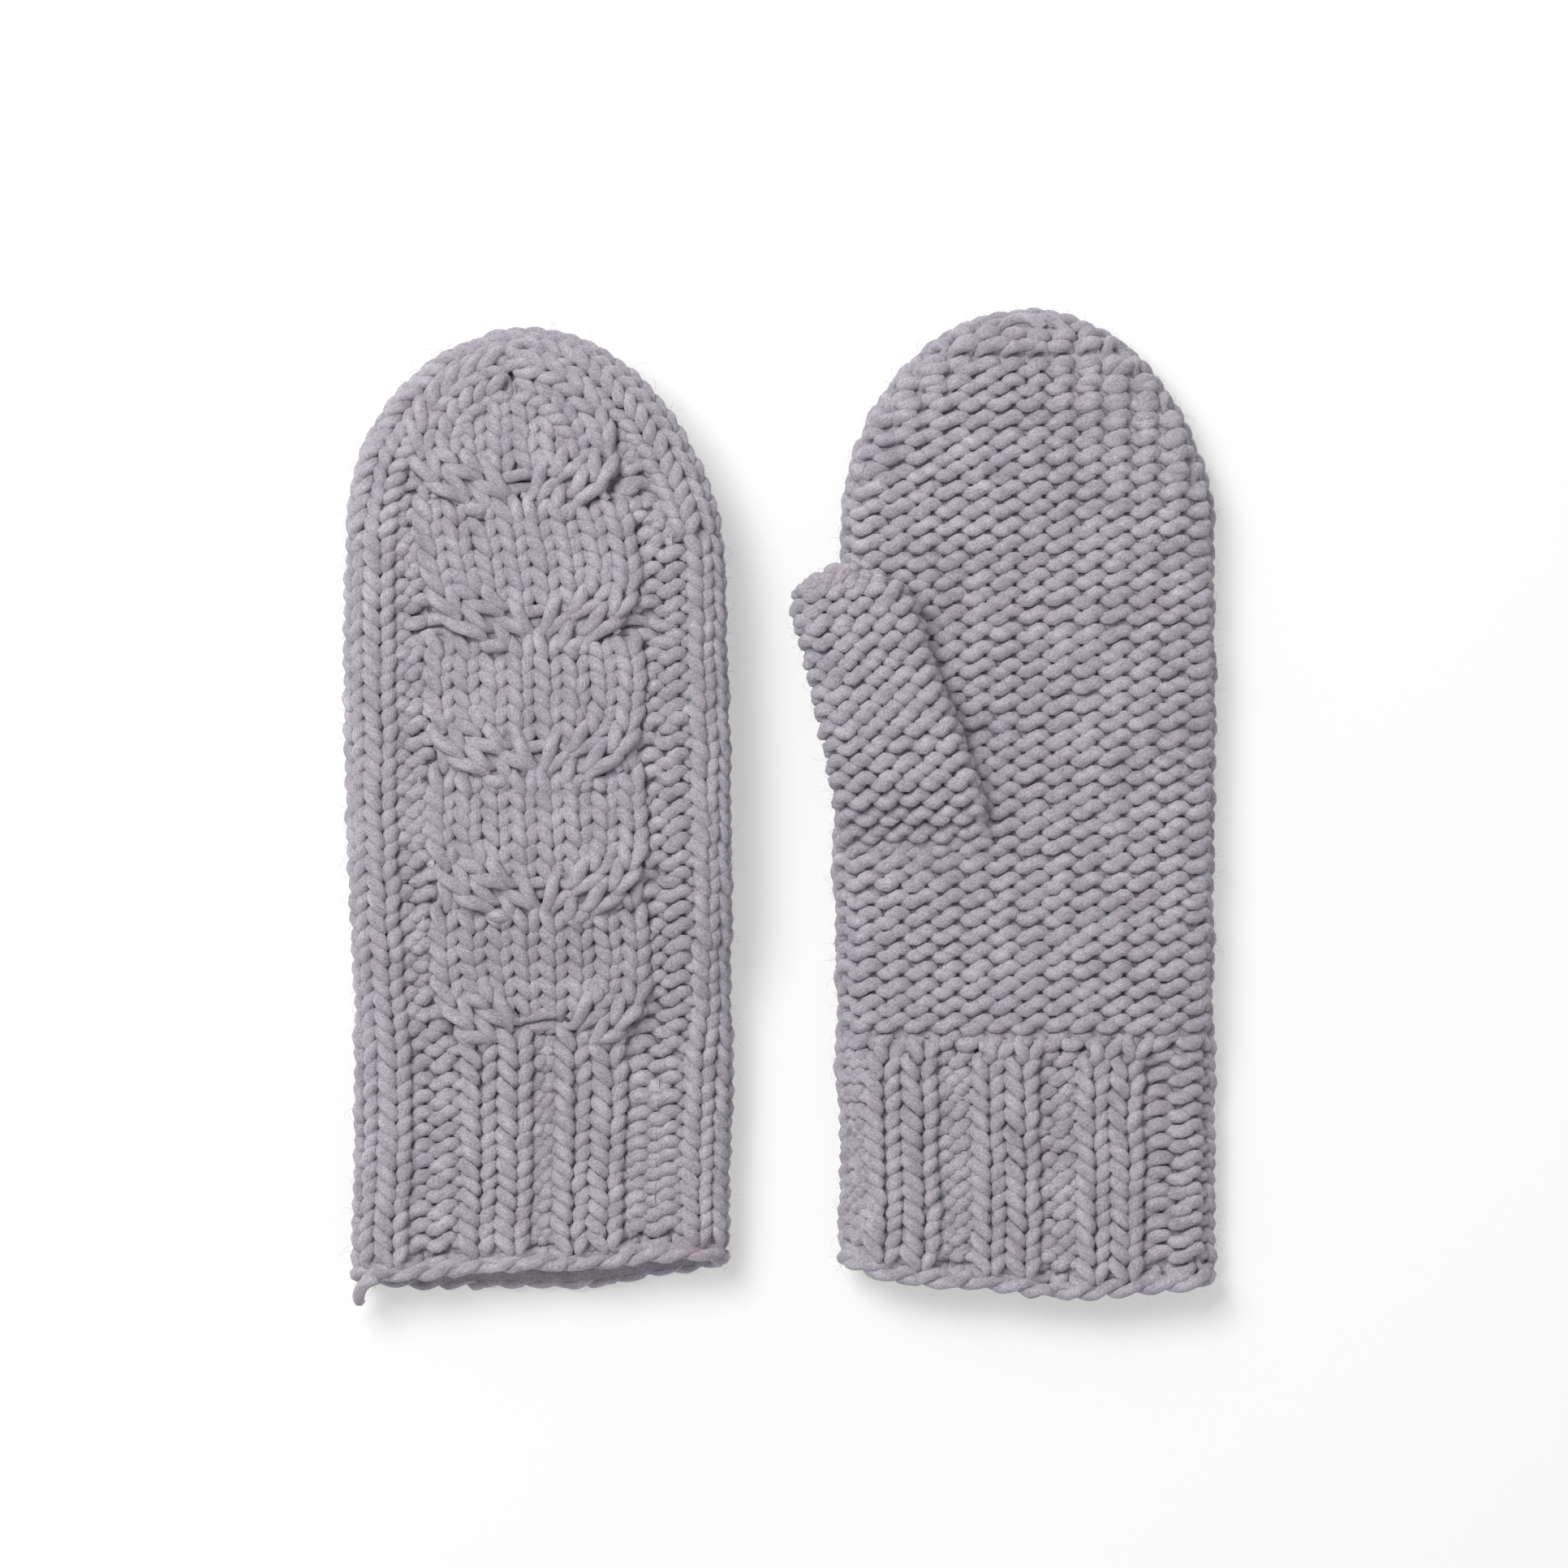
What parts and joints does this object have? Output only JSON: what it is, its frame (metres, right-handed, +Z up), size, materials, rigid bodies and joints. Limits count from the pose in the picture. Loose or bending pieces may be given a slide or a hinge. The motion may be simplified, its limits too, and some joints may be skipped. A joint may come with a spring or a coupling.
{
  "type": "knitted mittens",
  "caption": "Pair of chunky knitted wool mittens with ribbed cuffs, a cabled back, a plain palm and a slit thumb, open at the cuff to take a hand.",
  "frame": {"origin": "middle of the pair, on the surface that the mittens lie on", "axes": "+X across the hands, from the right-hand mitten to the left-hand one; +Y from the cuffs to the fingertips; +Z up"},
  "size_m": [0.2348, 0.27, 0.0324],
  "materials": {
    "wool": "soft, lightly felted, heathered lavender grey",
    "tail_yarn": "loose end of the same yarn"
  },
  "bodies": {
    "right_hand": {"right_wrist_line": "wool", "right_hand_back": "wool", "right_hand_cable": "wool", "right_hand_palm": "wool", "right_hand_thumb_side": "wool", "right_hand_outer_side": "wool", "right_finger_line": "wool", "right_thumb_base": "wool"},
    "right_cuff": {"right_cast_on_edge": "wool", "right_cuff_back": "wool", "right_cuff_palm": "wool", "right_cuff_thumb_side": "wool", "right_cuff_outer_side": "wool", "right_yarn_tail": "tail_yarn"},
    "right_fingers": {"right_finger_back": "wool", "right_finger_cable": "wool", "right_finger_palm": "wool", "right_crown_edge": "wool", "right_crown_gather": "wool"},
    "right_thumb": {"right_thumb_top": "wool", "right_thumb_under": "wool", "right_thumb_rim": "wool", "right_thumb_gather": "wool"},
    "left_hand": {"left_wrist_line": "wool", "left_hand_back": "wool", "left_hand_cable": "wool", "left_hand_palm": "wool", "left_hand_thumb_side": "wool", "left_hand_outer_side": "wool", "left_finger_line": "wool", "left_thumb_base": "wool"},
    "left_cuff": {"left_cast_on_edge": "wool", "left_cuff_back": "wool", "left_cuff_palm": "wool", "left_cuff_thumb_side": "wool", "left_cuff_outer_side": "wool"},
    "left_fingers": {"left_finger_back": "wool", "left_finger_cable": "wool", "left_finger_palm": "wool", "left_crown_edge": "wool", "left_crown_gather": "wool"},
    "left_thumb": {"left_thumb_top": "wool", "left_thumb_under": "wool", "left_thumb_rim": "wool", "left_thumb_gather": "wool"}
  },
  "joints": [
    {"name": "pair_separation", "type": "slide", "parent": "right_hand", "child": "left_hand", "axis": [1, 0, 0], "range_m": [0, 0.15]},
    {"name": "right_cuff_fold", "type": "hinge", "parent": "right_hand", "child": "right_cuff", "pos_m": [-0.0659, -0.0607, 0.01], "axis": [-1, 0, 0], "range_deg": [0, 70], "deforming": ["right_wrist_line"]},
    {"name": "right_finger_fold", "type": "hinge", "parent": "right_hand", "child": "right_fingers", "pos_m": [-0.0659, 0.0733, 0.0224], "axis": [1, 0, 0], "range_deg": [0, 70], "deforming": ["right_finger_line"]},
    {"name": "right_thumb_lift", "type": "hinge", "parent": "right_hand", "child": "right_thumb", "pos_m": [-0.0969, -0.0007, 0.0122], "axis": [-1, 0, 0], "range_deg": [0, 70], "deforming": ["right_thumb_base"]},
    {"name": "left_cuff_fold", "type": "hinge", "parent": "left_hand", "child": "left_cuff", "pos_m": [0.0659, -0.064, 0.01], "axis": [-1, 0, 0], "range_deg": [0, 70], "deforming": ["left_wrist_line"]},
    {"name": "left_finger_fold", "type": "hinge", "parent": "left_hand", "child": "left_fingers", "pos_m": [0.0659, 0.075, 0.01], "axis": [1, 0, 0], "range_deg": [0, 70], "deforming": ["left_finger_line"]},
    {"name": "left_thumb_lift", "type": "hinge", "parent": "left_hand", "child": "left_thumb", "pos_m": [0.0349, -0.004, 0.0202], "axis": [1, 0, 0], "range_deg": [0, 70], "deforming": ["left_thumb_base"]}
  ]
}
